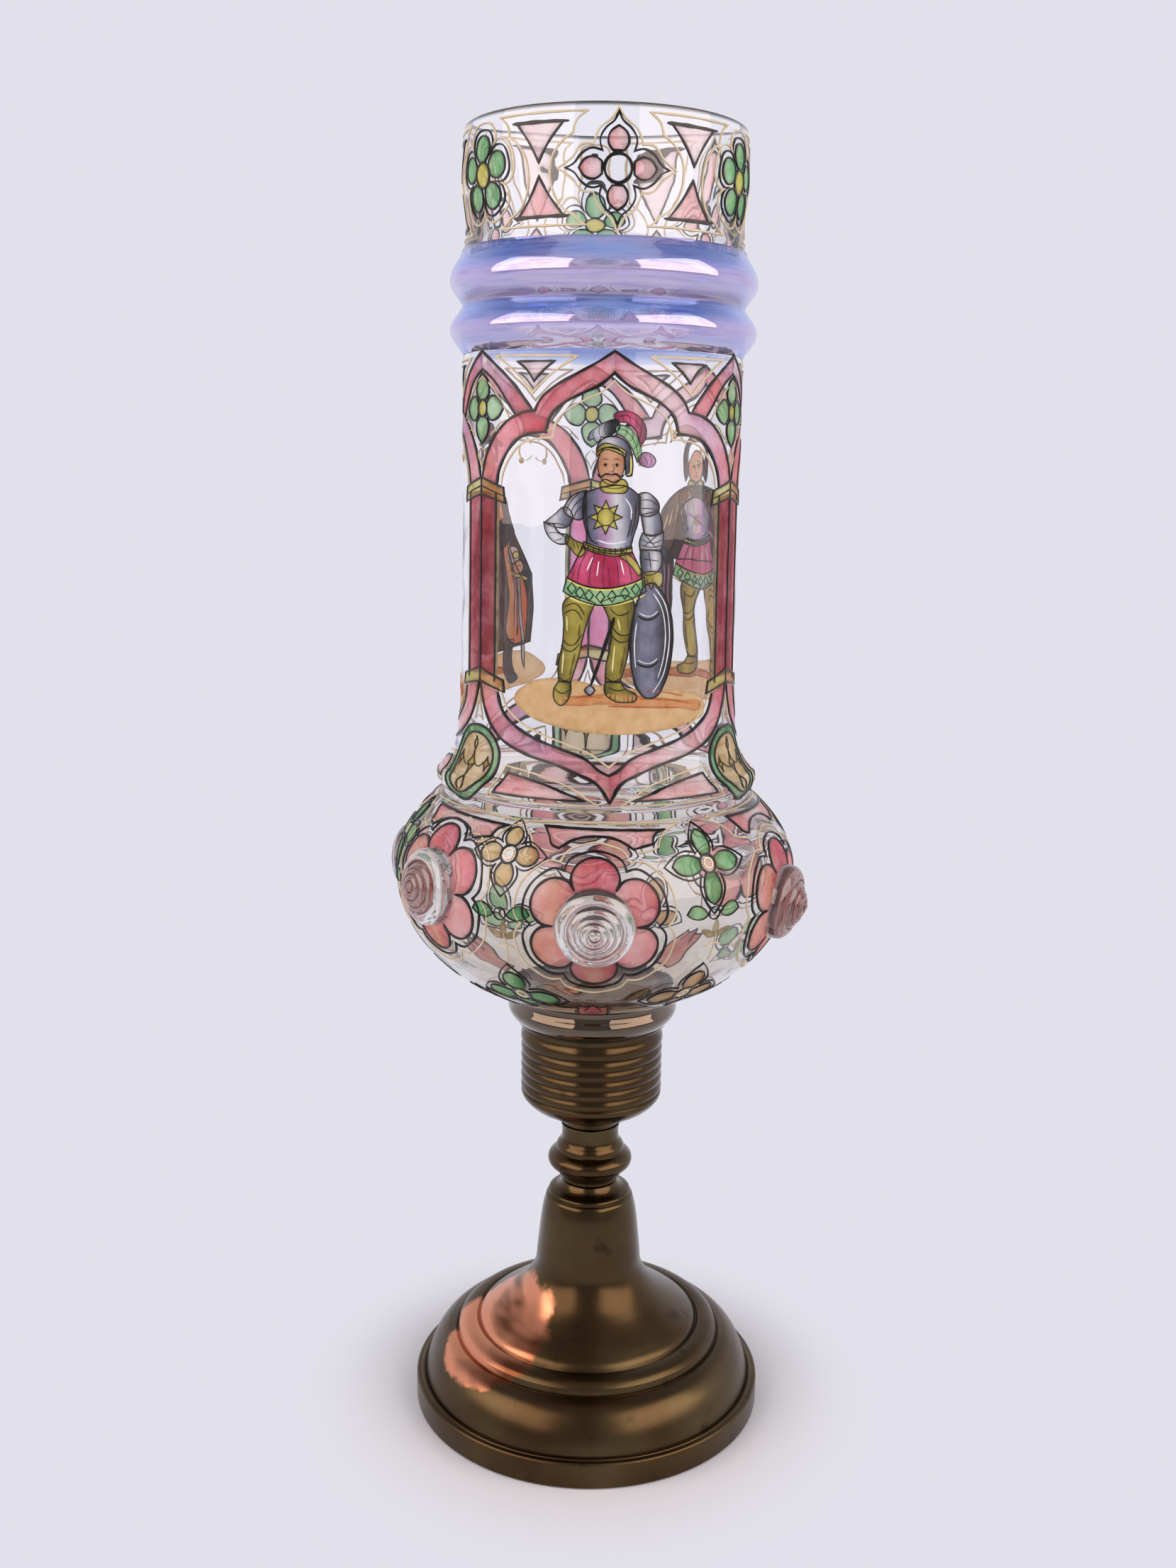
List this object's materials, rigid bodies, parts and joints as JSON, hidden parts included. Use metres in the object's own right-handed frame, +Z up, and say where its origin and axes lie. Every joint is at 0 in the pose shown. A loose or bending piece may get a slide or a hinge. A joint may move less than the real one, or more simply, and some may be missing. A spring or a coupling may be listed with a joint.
{
  "type": "goblet",
  "caption": "Tall enamelled glass beaker on a prunted round bowl, held by a ribbed brass socket on a knopped, stepped dome foot.",
  "frame": {"origin": "on the table, under the middle of the goblet", "axes": "+Z up along the axis, front at -Y with a prunt facing it, +X to the right"},
  "size_m": [0.1365, 0.1466, 0.42],
  "materials": {
    "clear_glass": "clear blown glass with enamel painting and blue-lilac lustre on its two rings",
    "prunt_glass": "clear applied glass with a rose tint",
    "enamel": "fired transparent and opaque enamel paints: rose, green, yellow, ivory, black and beige lines",
    "lustre": "blue-lilac metallic lustre on the two hollow rings",
    "brass": "dark brown patina, polished by handling, with one area worn to copper red",
    "cement": "dull off-white plaster",
    "steel": "plain machined steel"
  },
  "bodies": {
    "root": {"foot_shell": "brass", "knop_stem": "brass", "socket_cup": "brass", "glass_body": "clear_glass", "cement_bed": "cement", "prunt_1": "prunt_glass", "prunt_2": "prunt_glass", "prunt_3": "prunt_glass", "prunt_4": "prunt_glass", "prunt_5": "prunt_glass", "prunt_6": "prunt_glass", "upper_washer": "steel", "lower_washer": "steel", "upper_nut": "steel", "lower_nut": "steel", "tie_rod": "steel"}
  },
  "joints": []
}
